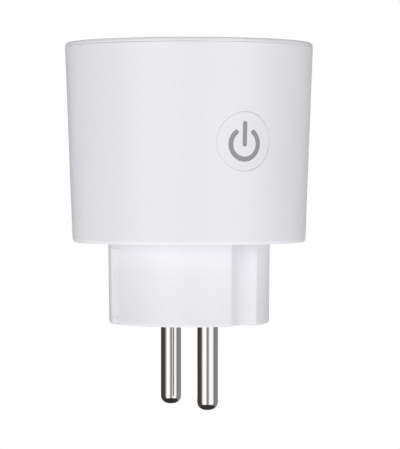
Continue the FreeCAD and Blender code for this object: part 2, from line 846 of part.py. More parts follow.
def make_earth_link():
    """The bent strip that carries the earth from the plug up beside the socket well."""
    body = new_body("earth_link")
    section = new_sketch(body, "XZ_Plane")
    band = f"({WELL_OUTER} + fit_gap + strip)"
    bar_top = "(earth_bar_low + strip)"
    outline(
        section,
        ("-link_riser + link_riser / 3", bar_top),
        ("-(link_riser + strip)", bar_top),
        ("-(link_riser + strip)", "link_shelf"),
        (f"-({band} + strip)", "link_shelf"),
        (f"-({band} + strip)", "earth_band_low + earth_band_width * 0.8"),
        (f"-{band}", "earth_band_low + earth_band_width * 0.8"),
        (f"-{band}", "link_shelf + strip"),
        ("-link_riser", "link_shelf + strip"),
        ("-link_riser", f"{bar_top} + strip"),
        ("-link_riser + link_riser / 3", f"{bar_top} + strip"),
    )
    pad(body, section, "strip_width", both_ways=True)


def make_socket_earth_strap():
    """A half band round the well with a bowed spring clip through the wall at each end."""
    body = new_body("socket_earth_strap")
    inner = f"({WELL_OUTER} + fit_gap)"
    outer = f"({inner} + strip)"
    band_top = "(earth_band_low + earth_band_width)"
    section = new_sketch(body, "XZ_Plane")
    rectangle(section, inner, "earth_band_low", outer, band_top)
    turned(body, section, "180")
    clip_top = f"({WELL_TOP} + clip_window_high - fit_gap * 4)"
    clip_foot = f"({WELL_TOP} + clip_window_low + fit_gap)"
    bow_height = f"({WELL_TOP} + clip_window_high / 2)"
    for side in ("", "-"):
        clip = new_sketch(body, "XZ_Plane")
        outline(
            clip,
            (f"{side}{outer}", "earth_band_low"),
            (f"{side}{outer}", clip_top),
            (f"{side}(clip_bow + strip * 3)", clip_top),
            (f"{side}clip_bow", bow_height),
            (f"{side}(clip_bow + strip * 2)", clip_foot),
            (f"{side}(clip_bow + strip * 3)", clip_foot),
            (f"{side}(clip_bow + strip)", bow_height),
            (f"{side}(clip_bow + strip * 4)", f"{clip_top} - strip"),
            (f"{side}{inner}", f"{clip_top} - strip"),
            (f"{side}{inner}", "earth_band_low"),
        )
        pad(body, clip, "strip_width", both_ways=True)


def make_live_contacts():
    """Two forked springs that grip the pins of the plug put into the socket."""
    half = "(pin_radius - strip * 0.6)"
    for live, side in LIVE_SIDES.items():
        body = new_body(f"{live}_contact")
        middle = f"{-side} * pin_spacing / 2"
        section = new_sketch(body, "XZ_Plane", f"{middle} - contact_width / 2")
        grip = f"({half} - strip * 0.5)"
        grip_height = "(contact_bar + (contact_top - contact_bar) * 0.6)"
        mouth = f"({half} + strip * 2)"
        outline(
            section,
            (f"-{half} - strip * 5.4", BOARD_TOP),
            (f"-{half}", BOARD_TOP),
            (f"-{half}", "contact_bar"),
            (f"{half} + strip", "contact_bar"),
            (f"{grip} + strip", grip_height),
            (f"{mouth} + strip", "contact_top"),
            (mouth, "contact_top"),
            (grip, grip_height),
            (half, "contact_bar + strip"),
            (f"-{half}", "contact_bar + strip"),
            (f"-{grip}", grip_height),
            (f"-{mouth}", "contact_top"),
            (f"-{mouth} - strip", "contact_top"),
            (f"-{grip} - strip", grip_height),
            (f"-{half} - strip", "contact_bar"),
            (f"-{half} - strip", f"{BOARD_TOP} + strip"),
            (f"-{half} - strip * 5.4", f"{BOARD_TOP} + strip"),
        )
        pad(body, section, "contact_width")


def make_contacts():
    make_pins()
    make_plug_earth_strap()
    make_plug_earth_tulip()
    make_earth_link()
    make_socket_earth_strap()
    make_live_contacts()


# Shutter --------------------------------------------------------------------------------

def make_shutter():
    """The turning disc that covers both socket holes until two pins push together."""
    body = new_body("shutter")
    face = new_sketch(body, "XY_Plane", SHUTTER_LOW)
    circle(face, "shutter_radius")
    circle(face, "shutter_bore_radius")
    for side in LIVE_SIDES.values():
        circle(
            face,
            "shutter_hole_radius",
            f"{side} * pin_spacing / 2 * sin(shutter_turn)",
            f"{side} * pin_spacing / 2 * cos(shutter_turn)",
        )
    pad(body, face, "shutter_thickness")
    recess = new_sketch(body, "XY_Plane", SHUTTER_TOP)
    circle(recess, "spring_pocket_radius")
    pocket(body, recess, "shutter_thickness * 0.7")


def make_shutter_retainer():
    """The cup under the well floor that carries the shutter on a centre post."""
    body = new_body("shutter_retainer")
    ears = ("", "-")
    plate = new_sketch(body, "XY_Plane", RETAINER_LOW)
    circle(plate, "retainer_radius")
    pad(body, plate, f"{WELL_UNDER} - {RETAINER_LOW}")
    for side in ears:
        ear = new_sketch(body, "XY_Plane", RETAINER_LOW)
        circle(ear, "retainer_ear_radius", f"{side}retainer_ear", f"{side}retainer_ear")
        pad(body, ear, f"{WELL_UNDER} - {RETAINER_LOW}")
        web = new_sketch(body, "XY_Plane", RETAINER_LOW, "45")
        rectangle(
            web,
            f"{side}(retainer_radius - retainer_rim)",
            "-retainer_ear_radius",
            f"{side}(retainer_ear * sqrt(2))",
            "retainer_ear_radius",
        )
        pad(body, web, f"{WELL_UNDER} - {RETAINER_LOW}")
    recess = new_sketch(body, "XY_Plane", WELL_UNDER)
    circle(recess, "retainer_radius - retainer_rim")
    circle(recess, "shutter_post_radius")
    pocket(body, recess, f"{WELL_UNDER} - {RETAINER_TOP}")
    post_top = new_sketch(body, "XY_Plane", WELL_UNDER)
    circle(post_top, "shutter_post_radius * 1.2")
    pocket(body, post_top, "shutter_gap / 2")
    holes = new_sketch(body, "XY_Plane", WELL_UNDER)
    for side in LIVE_SIDES.values():
        circle(holes, "shutter_hole_radius", "0", f"{side} * pin_spacing / 2")
    for side in ears:
        circle(holes, "screw_clear_radius", f"{side}retainer_ear", f"{side}retainer_ear")
    pocket(body, holes, f"{WELL_UNDER} - {RETAINER_LOW} + fit_gap")


def make_shutter_spring():
    """The open ring of wire in the shutter's pocket that turns it shut, with two bent legs."""
    level = f"{SHUTTER_TOP} - shutter_thickness * 0.7 + spring_wire + shutter_gap / 3"
    ring = doc.addObject("Part::Torus", "spring_ring")
    bind(ring, Radius1="spring_radius", Radius2="spring_wire", Angle3="360 - 2 * spring_gap")
    ring.setExpression("Placement.Base.z", formula(level))
    ring.Placement.Rotation = FreeCAD.Rotation(FreeCAD.Vector(0, 0, 1), number("spring_gap"))
    legs = [
        rod(
            f"spring_leg_{index}", "spring_wire", "spring_leg",
            ("spring_radius * cos(spring_gap) - spring_leg",
             f"{side}spring_radius * sin(spring_gap)", level),
            "x",
        )
        for index, side in enumerate(("", "-"), start=1)
    ]
    node("shutter_spring", fused("shutter_spring", ring, *legs))


def make_screw(name, x, y, seat, length, up):
    """A cross-recess screw whose head sits below (up) or above its seat."""
    shank_low = seat if up else f"{seat} - {length}"
    head_low = f"{seat} - screw_head_height" if up else seat
    shank = rod(f"{name}_shank", "screw_radius", length, (x, y, shank_low))
    head = rod(f"{name}_head", "screw_head_radius", "screw_head_height", (x, y, head_low))
    whole = fused(f"{name}_whole", shank, head)
    recess_low = head_low if up else f"{seat} + screw_head_height - recess_depth"
    arms = []
    for letter, span_x, span_y in (
        ("a", "recess_length", "recess_width"),
        ("b", "recess_width", "recess_length"),
    ):
        low = (f"{x} - {span_x} / 2", f"{y} - {span_y} / 2", recess_low)
        high = (f"{x} + {span_x} / 2", f"{y} + {span_y} / 2", f"{recess_low} + recess_depth")
        arms.append(block(f"{name}_recess_{letter}", low, high))
    return cut(name, whole, *arms)


def make_screws():
    """Two screws hold the shutter retainer and two hold the power board."""
    retainer = [
        make_screw(
            f"retainer_screw_{index}", f"{side}retainer_ear", f"{side}retainer_ear",
            RETAINER_LOW, "retainer_screw_length", True,
        )
        for index, side in enumerate(("", "-"), start=1)
    ]
    node("retainer_screws", group("retainer_screws", *retainer))
    board = [
        make_screw(
            f"board_screw_{live}", "0", f"{side} * board_screw_offset",
            BOARD_TOP, "board_screw_length", False,
        )
        for live, side in LIVE_SIDES.items()
    ]
    node("board_screws", group("board_screws", *board))


# Boards and parts on them ---------------------------------------------------------------

HEADER_PINS = 6


def make_power_board():
    """The round board that carries the relay, the supply and the metering circuit."""
    body = new_body("power_board")
    face = new_sketch(body, "XY_Plane", BOARD_LOW)
    circle(face, "board_radius")
    for side in LIVE_SIDES.values():
        circle(face, "tail_hole_radius", "0", f"{side} * pin_spacing / 2")
        circle(face, "screw_clear_radius", "0", f"{side} * board_screw_offset")
    rectangle(
        face,
        "-(link_riser + strip * 1.5)",
        "-(strip_width / 2 + strip / 2)",
        "-(link_riser - strip / 2)",
        "strip_width / 2 + strip / 2",
    )
    pad(body, face, "board_thickness")


def header_x(index):
    """The place of one header pin across the control board."""
    return f"header_pitch * {index - (HEADER_PINS - 1) / 2}"


def make_control_board():
    """The upright board behind the button, on a right-angle header."""
    back = "-(control_face - control_thickness)"
    board = block(
        "control_panel",
        ("-control_half_width", "-control_face", BOARD_TOP),
        ("control_half_width", back, "control_top"),
    )

    def top_corner(edge):
        middle = edge.CenterOfMass
        return (
            abs(middle.z - number("control_top")) < 0.01
            and abs(abs(middle.x) - number("control_half_width")) < 0.01
        )
    node("control_board", rounded("control_board", board, "control_corner", top_corner))
    strip_high = f"{BOARD_TOP} + header_pitch"
    strip_body = block(
        "header_strip",
        (f"-header_pitch * {HEADER_PINS / 2}", back, BOARD_TOP),
        (f"header_pitch * {HEADER_PINS / 2}", f"{back} + header_pitch", strip_high),
    )
    sockets = []
    pins = []
    for index in range(HEADER_PINS):
        x_low = f"{header_x(index)} - header_pin / 2"
        x_high = f"{header_x(index)} + header_pin / 2"
        turn_y = f"{back} + header_pitch / 2"
        level = f"{BOARD_TOP} + header_pitch / 2"
        upright_leg = (
            (x_low, f"{turn_y} - header_pin / 2", BOARD_TOP),
            (x_high, f"{turn_y} + header_pin / 2", f"{level} + header_pin / 2"),
        )
        level_leg = (
            (x_low, back, f"{level} - header_pin / 2"),
            (x_high, f"{turn_y} + header_pin / 2", f"{level} + header_pin / 2"),
        )
        pins.append(fused(
            f"header_pin_{index}",
            block(f"header_upright_{index}", *upright_leg),
            block(f"header_level_{index}", *level_leg),
        ))
        sockets.append(block(f"header_slot_{index}", *upright_leg))
        sockets.append(block(f"header_bore_{index}", *level_leg))
    node("pin_header", cut("pin_header", strip_body, *sockets))
    node("header_pins", group("header_pins", *pins))


def make_radio():
    """The radio module's own small board, with a shield can over its chips."""
    back = "-(control_face - control_thickness)"
    front = f"({back} + radio_depth)"
    node("radio_module", block(
        "radio_module",
        ("-radio_width / 2", back, "radio_low"),
        ("radio_width / 2", front, "radio_high"),
    ))
    can = block(
        "shield_can",
        ("-shield_width / 2", front, "shield_low"),
        ("shield_width / 2", f"{front} + shield_depth", "shield_high"),
    )
    hollow = block(
        "shield_hollow",
        ("shield_wall - shield_width / 2", front, "shield_low + shield_wall"),
        ("shield_width / 2 - shield_wall", f"{front} + shield_depth - shield_wall",
         "shield_high - shield_wall"),
    )
    node("radio_shield", cut("radio_shield", can, hollow))


def board_box(part, piece=None):
    """A box on the power board, from its row in the table of board parts."""
    low = (f"{part}_x - {part}_width / 2", f"{part}_y - {part}_depth / 2", BOARD_TOP)
    high = (f"{part}_x + {part}_width / 2", f"{part}_y + {part}_depth / 2",
            f"{BOARD_TOP} + {part}_height")
    return block(piece or part, low, high)


def board_can(part):
    """An upright cylinder on the power board, from its row in the table of board parts."""
    return rod(part, f"{part}_radius", f"{part}_height", (f"{part}_x", f"{part}_y", BOARD_TOP))


def lead(name, x, y, height):
    """A wire from the power board up to a height over it."""
    return rod(name, "lead_radius", height, (x, y, BOARD_TOP))


def make_large_parts():
    """The capacitors, the inductor and the parts that stand on their own wires."""
    node("smoothing_capacitors", group(
        "smoothing_capacitors", board_can("capacitor_large"), board_can("capacitor_small")
    ))
    place = ("inductor_x", "inductor_y")
    node("inductor", fused(
        "inductor",
        rod("inductor_foot", "inductor_radius", "inductor_rim", (*place, BOARD_TOP)),
        rod("inductor_winding", "inductor_winding", "inductor_height", (*place, BOARD_TOP)),
        rod("inductor_head", "inductor_radius", "inductor_rim",
            (*place, f"{BOARD_TOP} + inductor_height - inductor_rim")),
    ))
    node("x_capacitor", rounded(
        "x_capacitor", board_box("film_capacitor"), "film_capacitor_round", upright
    ))
    disc = rod(
        "varistor_disc", "varistor_radius", "varistor_width",
        ("varistor_x", "varistor_y", f"{BOARD_TOP} + varistor_rise"), "x",
    )
    leads = [
        lead(f"varistor_lead_{index}", "varistor_x + varistor_width / 2",
             f"varistor_y {side} varistor_pitch / 2", "varistor_rise")
        for index, side in enumerate("-+", start=1)
    ]
    node("varistor", fused("varistor", disc, *leads))
    top = "resistor_rise + resistor_height"
    side = "(resistor_x + resistor_pitch)"
    node("fusible_resistor", fused(
        "fusible_resistor",
        rod("resistor_body", "resistor_radius", "resistor_height",
            ("resistor_x", "resistor_y", f"{BOARD_TOP} + resistor_rise")),
        lead("resistor_lead", "resistor_x", "resistor_y", f"{top} + lead_radius * 3"),
        lead("resistor_return", side, "resistor_y", f"{top} + lead_radius * 3"),
        rod("resistor_bend", "lead_radius", "resistor_pitch",
            ("resistor_x", "resistor_y", f"{BOARD_TOP} + {top} + lead_radius * 2"), "x"),
    ))
    level = f"{BOARD_TOP} + fuse_rise"
    node("thermal_fuse", fused(
        "thermal_fuse",
        rod("fuse_body", "fuse_radius", "fuse_width", ("fuse_x", "fuse_y", level), "x"),
        rod("fuse_wire", "lead_radius", "fuse_width + 2 * fuse_pitch",
            ("fuse_x - fuse_pitch", "fuse_y", level), "x"),
        lead("fuse_lead_low", "fuse_x - fuse_pitch + lead_radius", "fuse_y",
             "fuse_rise + lead_radius / 2"),
        lead("fuse_lead_high", "fuse_x + fuse_width + fuse_pitch - lead_radius", "fuse_y",
             "fuse_rise + lead_radius / 2"),
    ))


def make_flat_parts():
    """The chips, the current-sensing strip and the lamps."""
    for part in ("bridge_rectifier", "buck_converter", "metering_chip"):
        node(part, board_box(part))
    arch = block(
        "shunt_arch",
        ("shunt_x - shunt_span / 2", "shunt_y - shunt_depth / 2", BOARD_TOP),
        ("shunt_x + shunt_span / 2", "shunt_y + shunt_depth / 2", f"{BOARD_TOP} + shunt_lift"),
    )
    node("shunt_resistor", cut("shunt_resistor", board_box("shunt"), arch))
    face = "-control_face"
    node("voltage_regulator", block(
        "voltage_regulator",
        ("-regulator_width / 2", f"{face} - regulator_depth", "regulator_low"),
        ("regulator_width / 2", face, "regulator_high"),
    ))
    lamps = [
        block(
            f"status_lamp_{index}",
            (f"button_offset {side} lamp_x - lamp_width / 2", f"{face} - lamp_depth",
             "button_height - lamp_height / 2"),
            (f"button_offset {side} lamp_x + lamp_width / 2", face,
             "button_height + lamp_height / 2"),
        )
        for index, side in enumerate("-+", start=1)
    ]
    node("status_lamps", group("status_lamps", *lamps))


def make_boards():
    make_power_board()
    make_control_board()
    make_radio()
    make_large_parts()
    make_flat_parts()


# Relay ----------------------------------------------------------------------------------

def make_relay():
    """The load relay: a coil on a core pulls a hinged armature that carries the contact."""
    centre_x = "((relay_low_x + relay_high_x) / 2)"
    centre = (centre_x, "coil_y")
    cover_top = f"{BOARD_TOP} + relay_height"
    low = ("relay_low_x", "-relay_half_width", BOARD_TOP)
    high = ("relay_high_x", "relay_half_width", cover_top)
    inner_low = ("relay_low_x + relay_wall", "-relay_half_width + relay_wall", BOARD_TOP)
    inner_high = ("relay_high_x - relay_wall", "relay_half_width - relay_wall",
                  f"{cover_top} - relay_wall")
    case = rounded("relay_case", block("relay_block", low, high), "relay_wall", upright)
    node("relay_cover", cut("relay_cover", case, block("relay_hollow", inner_low, inner_high)))

    hinge = (f"{centre_x} - yoke_half_width", "yoke_face + yoke_thickness", "armature_low")
    base_top = f"({BOARD_TOP} + relay_base_thickness)"
    node("relay_base", block("relay_base", inner_low, (*inner_high[:2], base_top)))
    yoke_foot_top = f"({base_top} + yoke_thickness)"
    node("relay_yoke", fused(
        "relay_yoke",
        block(
            "yoke_foot",
            (f"{centre_x} - yoke_half_width", "coil_y - yoke_half_width", base_top),
            (f"{centre_x} + yoke_half_width", "yoke_face + yoke_thickness", yoke_foot_top),
        ),
        block(
            "yoke_back",
            (f"{centre_x} - yoke_half_width", "yoke_face", base_top),
            (f"{centre_x} + yoke_half_width", "yoke_face + yoke_thickness", "yoke_top"),
        ),
        rod("yoke_bead", "hinge_bead", "2 * yoke_half_width", hinge, "x"),
    ))
    node("relay_core", rod(
        "relay_core", "core_radius", f"core_top - {yoke_foot_top}", (*centre, yoke_foot_top)
    ))
    flange_low = "(bobbin_top - bobbin_flange)"
    spool = fused(
        "bobbin_spool",
        rod("bobbin_foot", "bobbin_radius", "bobbin_flange", (*centre, yoke_foot_top)),
        rod("bobbin_barrel", "bobbin_barrel_radius", f"bobbin_top - {yoke_foot_top}",
            (*centre, yoke_foot_top)),
        rod("bobbin_head", "bobbin_radius", "bobbin_flange", (*centre, flange_low)),
    )
    bore = rod("bobbin_bore", "bobbin_bore", f"bobbin_top - {yoke_foot_top}",
               (*centre, yoke_foot_top))
    node("relay_bobbin", cut("relay_bobbin", spool, bore))
    winding_low = f"({yoke_foot_top} + bobbin_flange)"
    node("relay_winding", tube(
        "relay_winding", "coil_radius", "bobbin_barrel_radius",
        f"{flange_low} - {winding_low}", (*centre, winding_low),
    ))

    armature_end = "-relay_half_width + relay_wall * 4"
    armature_top = "(armature_low + armature_thickness)"
    flap = block(
        "armature_flap",
        (f"{centre_x} - yoke_half_width", armature_end, "armature_low"),
        (f"{centre_x} + yoke_half_width", "yoke_face + yoke_thickness", armature_top),
    )
    hollow = rod("armature_hollow", "hinge_hollow", "2 * yoke_half_width", hinge, "x")
    node("relay_armature", cut("relay_armature", flap, hollow))
    rivet_y = "(-relay_half_width + relay_wall * 2.5)"
    node("relay_moving_contact", fused(
        "relay_moving_contact",
        block(
            "moving_leaf",
            (f"{centre_x} - contact_width / 2", f"{rivet_y} - relay_rivet", armature_top),
            (f"{centre_x} + contact_width / 2", "coil_y", f"{armature_top} + relay_leaf"),
        ),
        rod("moving_rivet", "relay_rivet", "armature_thickness * 0.9",
            (centre_x, rivet_y, "armature_low + armature_thickness * 0.1")),
    ))
    shelf_low = "(bobbin_top + relay_leaf)"
    shelf_high = f"({shelf_low} + relay_leaf * 1.5)"
    node("relay_fixed_contact", fused(
        "relay_fixed_contact",
        block(
            "fixed_post",
            (f"{centre_x} - contact_width / 2", f"{rivet_y} - relay_rivet", base_top),
            (f"{centre_x} + contact_width / 2",
             f"{rivet_y} - relay_rivet + relay_leaf", shelf_high),
        ),
        block(
            "fixed_shelf",
            (f"{centre_x} - contact_width / 2", f"{rivet_y} - relay_rivet", shelf_low),
            (f"{centre_x} + contact_width / 2", f"{rivet_y} + relay_rivet", shelf_high),
        ),
        rod("fixed_rivet", "relay_rivet", f"core_top - relay_leaf / 2 - {shelf_high}",
            (centre_x, rivet_y, shelf_high)),
    ))


# Button and its switch ------------------------------------------------------------------

def power_symbol(base):
    """The on-off symbol as a prism: an open ring with round ends and an upright bar."""
    centre_up = "(button_height - symbol_drop)"
    reach = "drum_top_radius - button_skin_back"
    sector = rod("symbol_sector", "symbol_outer", reach, ("button_offset", base, centre_up), "-y")
    bind(sector, Angle="360 - 2 * symbol_gap")
    start = FreeCAD.Rotation(FreeCAD.Vector(0, 0, 1), number("90 + symbol_gap"))
    sector.Placement.Rotation = TURNS["-y"].multiply(start)
    hole = rod("symbol_hole", "symbol_inner", reach, ("button_offset", base, centre_up), "-y")
    pieces = [cut("symbol_ring", sector, hole)]
    middle = "(symbol_outer + symbol_inner) / 2"
    for index, side in enumerate("-+", start=1):
        spot = (
            f"button_offset {side} {middle} * sin(symbol_gap)",
            base,
            f"{centre_up} + {middle} * cos(symbol_gap)",
        )
        radius = "(symbol_outer - symbol_inner) / 2"
        pieces.append(rod(f"symbol_end_{index}", radius, reach, spot, "-y"))
    low = "button_height + symbol_bar_low + symbol_bar_width / 2"
    high = "button_height + symbol_bar_top - symbol_bar_width / 2"
    half = "symbol_bar_width / 2"
    pieces.append(block(
        "symbol_bar",
        (f"button_offset - {half}", f"{base} - ({reach})", low),
        (f"button_offset + {half}", base, high),
    ))
    for name, up in (("low", low), ("high", high)):
        pieces.append(rod(f"symbol_bar_{name}", half, reach, ("button_offset", base, up), "-y"))
    return fused("power_symbol", *pieces)


def make_button():
    """The flanged cap in the side wall and the light guide that shows the symbol."""
    drum = doc.addObject("Part::Cone", "button_skin")
    bind(
        drum,
        Radius1="drum_low_radius - button_sink",
        Radius2="drum_top_radius - button_sink",
        Height="drum_height",
    )
    drum.setExpression("Placement.Base.z", formula("plug_length"))
    centre = ("button_offset", "-button_back", "button_height")
    shaft = rod("button_shaft", "button_radius", "drum_top_radius - button_back", centre, "-y")
    face = doc.addObject("Part::Common", "button_face")
    face.Base = shaft
    face.Tool = drum

    def face_edge(edge):
        middle = edge.CenterOfMass
        return (
            middle.y < -number("button_skin_back")
            and edge.Length > number("button_radius")
            and not edge.isSeam(face.Shape.Faces[0])
        )
    rim = rounded("button_rim", face, "button_round", face_edge)
    flange = rod(
        "button_flange", "button_flange_radius", "button_stop - button_back", centre, "-y"
    )
    cavity = rod(
        "button_cavity", "button_cavity_radius", "button_skin_back - button_back", centre, "-y"
    )
    symbol = power_symbol("-button_skin_back")
    node("button_cap", cut("button_cap", fused("button_whole", rim, flange), cavity, symbol))
    guide_back = "-(button_skin_back - guide_thickness)"
    plate = rod(
        "guide_plate", "guide_radius", "guide_thickness",
        ("button_offset", guide_back, "button_height"), "-y",
    )
    stem = rod(
        "guide_stem", "guide_stem_radius", f"-({guide_back}) - {TACT_TIP}",
        ("button_offset", f"-{TACT_TIP}", "button_height"), "-y",
    )
    lit = doc.addObject("Part::Common", "guide_symbol")
    lit.Base = symbol
    lit.Tool = drum
    node("button_light_guide", fused("button_light_guide", plate, stem, lit))


def make_tact_switch():
    """The momentary switch behind the button, soldered to the control board."""
    half = "tact_size / 2"
    low = (
        f"button_offset - {half}", "-(control_face + tact_depth)", f"button_height - {half}"
    )
    high = (f"button_offset + {half}", "-control_face", f"button_height + {half}")
    middle = "button_height"
    bore = rod(
        "tact_bore", "tact_bore_radius", "tact_depth",
        ("button_offset", "-(control_face + tact_depth - tact_throat)", middle), "-y",
    )
    node("tact_housing", cut("tact_housing", block("tact_block", low, high), bore))
    plate = block("tact_sheet", (low[0], f"-{TACT_FACE}", low[2]), (high[0], low[1], high[2]))
    window = rod(
        "tact_window", "tact_window_radius", "tact_plate", ("button_offset", low[1], middle), "-y"
    )
    node("tact_plate", cut("tact_plate", plate, window))
    dome_back = "-(control_face + tact_depth - tact_throat)"
    node("tact_dome", rod(
        "tact_dome", "tact_collar_radius", "fit_gap", ("button_offset", dome_back, middle), "-y"
    ))
    collar_back = f"{dome_back} - tact_throat / 2"
    node("tact_plunger", fused(
        "tact_plunger",
        rod("tact_collar", "tact_collar_radius", "tact_throat / 2 - fit_gap / 2",
            ("button_offset", collar_back, middle), "-y"),
        rod("tact_stem", "tact_plunger_radius", f"{TACT_TIP} + ({collar_back})",
            ("button_offset", collar_back, middle), "-y"),
    ))


def main():
    """Builds every piece, checks the document and writes one STEP file for each node."""
    make_housing()
    make_contacts()
    make_shutter()
    make_shutter_retainer()
    make_shutter_spring()
    make_screws()
    make_boards()
    make_relay()
    make_button()
    make_tact_switch()
    doc.recompute()
    failed = [item.Name for item in doc.Objects if {"Invalid", "Error"} & set(item.State)]
    if failed:
        raise RuntimeError(f"objects that failed: {failed}")
    for name, piece in nodes.items():
        piece.Label = name
        if piece.Shape.isNull() or not piece.Shape.isValid():
            raise RuntimeError(f"{name} has no valid shape")
    os.makedirs("parts", exist_ok=True)
    for name, piece in nodes.items():
        piece.Shape.exportStep(f"parts/{name}.step")
        print(f"{name}: {len(piece.Shape.Solids)} solids, {piece.Shape.Volume:.1f} mm3")


main()
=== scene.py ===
import json
import math

import bpy
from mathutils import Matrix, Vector


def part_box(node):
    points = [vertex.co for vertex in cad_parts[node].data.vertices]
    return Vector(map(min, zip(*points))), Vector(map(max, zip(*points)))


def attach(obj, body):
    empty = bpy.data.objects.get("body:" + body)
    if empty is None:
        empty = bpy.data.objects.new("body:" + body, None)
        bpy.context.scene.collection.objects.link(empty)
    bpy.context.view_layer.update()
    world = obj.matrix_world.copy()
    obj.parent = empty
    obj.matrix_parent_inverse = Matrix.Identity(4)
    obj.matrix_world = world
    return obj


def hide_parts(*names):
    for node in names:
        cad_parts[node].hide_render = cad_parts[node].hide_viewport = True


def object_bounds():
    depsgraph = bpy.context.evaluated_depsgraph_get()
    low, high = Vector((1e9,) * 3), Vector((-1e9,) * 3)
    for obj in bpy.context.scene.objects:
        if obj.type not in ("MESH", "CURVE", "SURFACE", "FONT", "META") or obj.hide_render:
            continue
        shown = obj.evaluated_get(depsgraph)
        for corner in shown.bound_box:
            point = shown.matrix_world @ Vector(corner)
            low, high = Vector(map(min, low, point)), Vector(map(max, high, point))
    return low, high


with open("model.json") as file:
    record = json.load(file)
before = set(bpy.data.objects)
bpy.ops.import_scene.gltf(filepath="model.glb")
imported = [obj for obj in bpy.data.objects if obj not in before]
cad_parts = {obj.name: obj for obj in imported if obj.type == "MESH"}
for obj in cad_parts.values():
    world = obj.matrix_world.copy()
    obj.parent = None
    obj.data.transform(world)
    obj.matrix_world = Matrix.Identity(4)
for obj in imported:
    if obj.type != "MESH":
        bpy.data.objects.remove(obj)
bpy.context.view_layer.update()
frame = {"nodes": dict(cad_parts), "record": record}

# Looks for the plug-through power meter: white satin plastic, plated pins and clips, a grey
# light guide in the button, a white floor and soft studio light. Metres, +Z up.

MM = 0.001


# Materials ------------------------------------------------------------------------------

# The middle stretch of a noise's strength, which carries most of its change.
NOISE_LOW = 0.3
NOISE_HIGH = 0.7

# Moulded plastic: cycles per metre of its drift of colour, how far the colour and the gloss
# stray as shares, and the depth of its grain.
PLASTIC_DRIFT = 45.0
PLASTIC_STRAY = 0.012
GLOSS_STRAY = 0.12
GRAIN_DEPTH = 0.02 * MM

# Metal: cycles per metre of its smudges and its fine lines, how far the smudges change the
# colour, the least and most roughness as shares, and the strength and depth of the lines.
SMUDGE = 160.0
SMUDGE_STRAY = 0.03
SMUDGE_GLOSS = (0.75, 1.3)
LINES = 5200.0
LINE_STRENGTH = 0.05
LINE_DEPTH = 0.01 * MM


def new_material(name):
    """An empty node material with its shader and output joined."""
    material = bpy.data.materials.new(name)
    material.use_nodes = True
    shader = material.node_tree.nodes["Principled BSDF"]
    return material, material.node_tree, shader


def add_node(tree, kind, **settings):
    """A node with some of its inputs or properties set."""
    made = tree.nodes.new(kind)
    for key, setting in settings.items():
        if key in made.inputs:
            made.inputs[key].default_value = setting
        else:
            setattr(made, key, setting)
    return made


def object_noise(tree, scale, detail=3.0, stretch=(1, 1, 1)):
    """Noise fixed to the piece, of a scale given in cycles per metre."""
    where = add_node(tree, "ShaderNodeTexCoord")
    mapping = add_node(tree, "ShaderNodeMapping")
    mapping.inputs["Scale"].default_value = stretch
    noise = add_node(tree, "ShaderNodeTexNoise", Scale=scale, Detail=detail)
    tree.links.new(where.outputs["Object"], mapping.inputs["Vector"])
    tree.links.new(mapping.outputs["Vector"], noise.inputs["Vector"])
    return noise


def spread(tree, noise, low, high):
    """The noise's strength mapped to a range."""
    ramp = add_node(tree, "ShaderNodeMapRange")
    ramp.inputs["From Min"].default_value = NOISE_LOW
    ramp.inputs["From Max"].default_value = NOISE_HIGH
    ramp.inputs["To Min"].default_value = low
    ramp.inputs["To Max"].default_value = high
    tree.links.new(noise.outputs["Fac"], ramp.inputs["Value"])
    return ramp.outputs["Result"]


def tint(tree, noise, colour, change):
    """A colour that drifts a little lighter and darker with the noise."""
    mix = add_node(tree, "ShaderNodeMix", data_type="RGBA")
    darker = [channel * (1 - change) for channel in colour]
    lighter = [min(1.0, channel * (1 + change)) for channel in colour]
    mix.inputs["A"].default_value = (*darker, 1)
    mix.inputs["B"].default_value = (*lighter, 1)
    tree.links.new(noise.outputs["Fac"], mix.inputs["Factor"])
    return mix.outputs["Result"]


def bump(tree, height, strength, distance):
    """A bump from a height value."""
    made = add_node(tree, "ShaderNodeBump", Strength=strength, Distance=distance)
    tree.links.new(height, made.inputs["Height"])
    return made.outputs["Normal"]


def moulded(name, colour, roughness, grain=2600.0, relief=0.10):
    """Injection-moulded plastic: a faint drift of colour over a fine spark-eroded grain."""
    material, tree, shader = new_material(name)
    drift = object_noise(tree, PLASTIC_DRIFT)
    fine = object_noise(tree, grain, detail=4.0)
    glossiest, dullest = roughness * (1 - GLOSS_STRAY), roughness * (1 + GLOSS_STRAY)
    relief_normal = bump(tree, fine.outputs["Fac"], relief, GRAIN_DEPTH)
    tree.links.new(tint(tree, drift, colour, PLASTIC_STRAY), shader.inputs["Base Color"])
    tree.links.new(spread(tree, fine, glossiest, dullest), shader.inputs["Roughness"])
    tree.links.new(relief_normal, shader.inputs["Normal"])
    return material


def metal(name, colour, roughness, along=(1, 1, 0.05), plating=1.0):
    """Plated or rolled metal with fine lines along one direction and faint smudges.

    A plating below 1 mirrors less, like a dull coat.
    """
    material, tree, shader = new_material(name)
    shader.inputs["Metallic"].default_value = plating
    smudge = object_noise(tree, SMUDGE)
    lines = object_noise(tree, LINES, detail=2.0, stretch=along)
    glossiest, dullest = (roughness * share for share in SMUDGE_GLOSS)
    line_normal = bump(tree, lines.outputs["Fac"], LINE_STRENGTH, LINE_DEPTH)
    tree.links.new(tint(tree, smudge, colour, SMUDGE_STRAY), shader.inputs["Base Color"])
    tree.links.new(spread(tree, smudge, glossiest, dullest), shader.inputs["Roughness"])
    tree.links.new(line_normal, shader.inputs["Normal"])
    return material


# The bluish white of the housing
WHITE = (0.855, 0.850, 0.883)

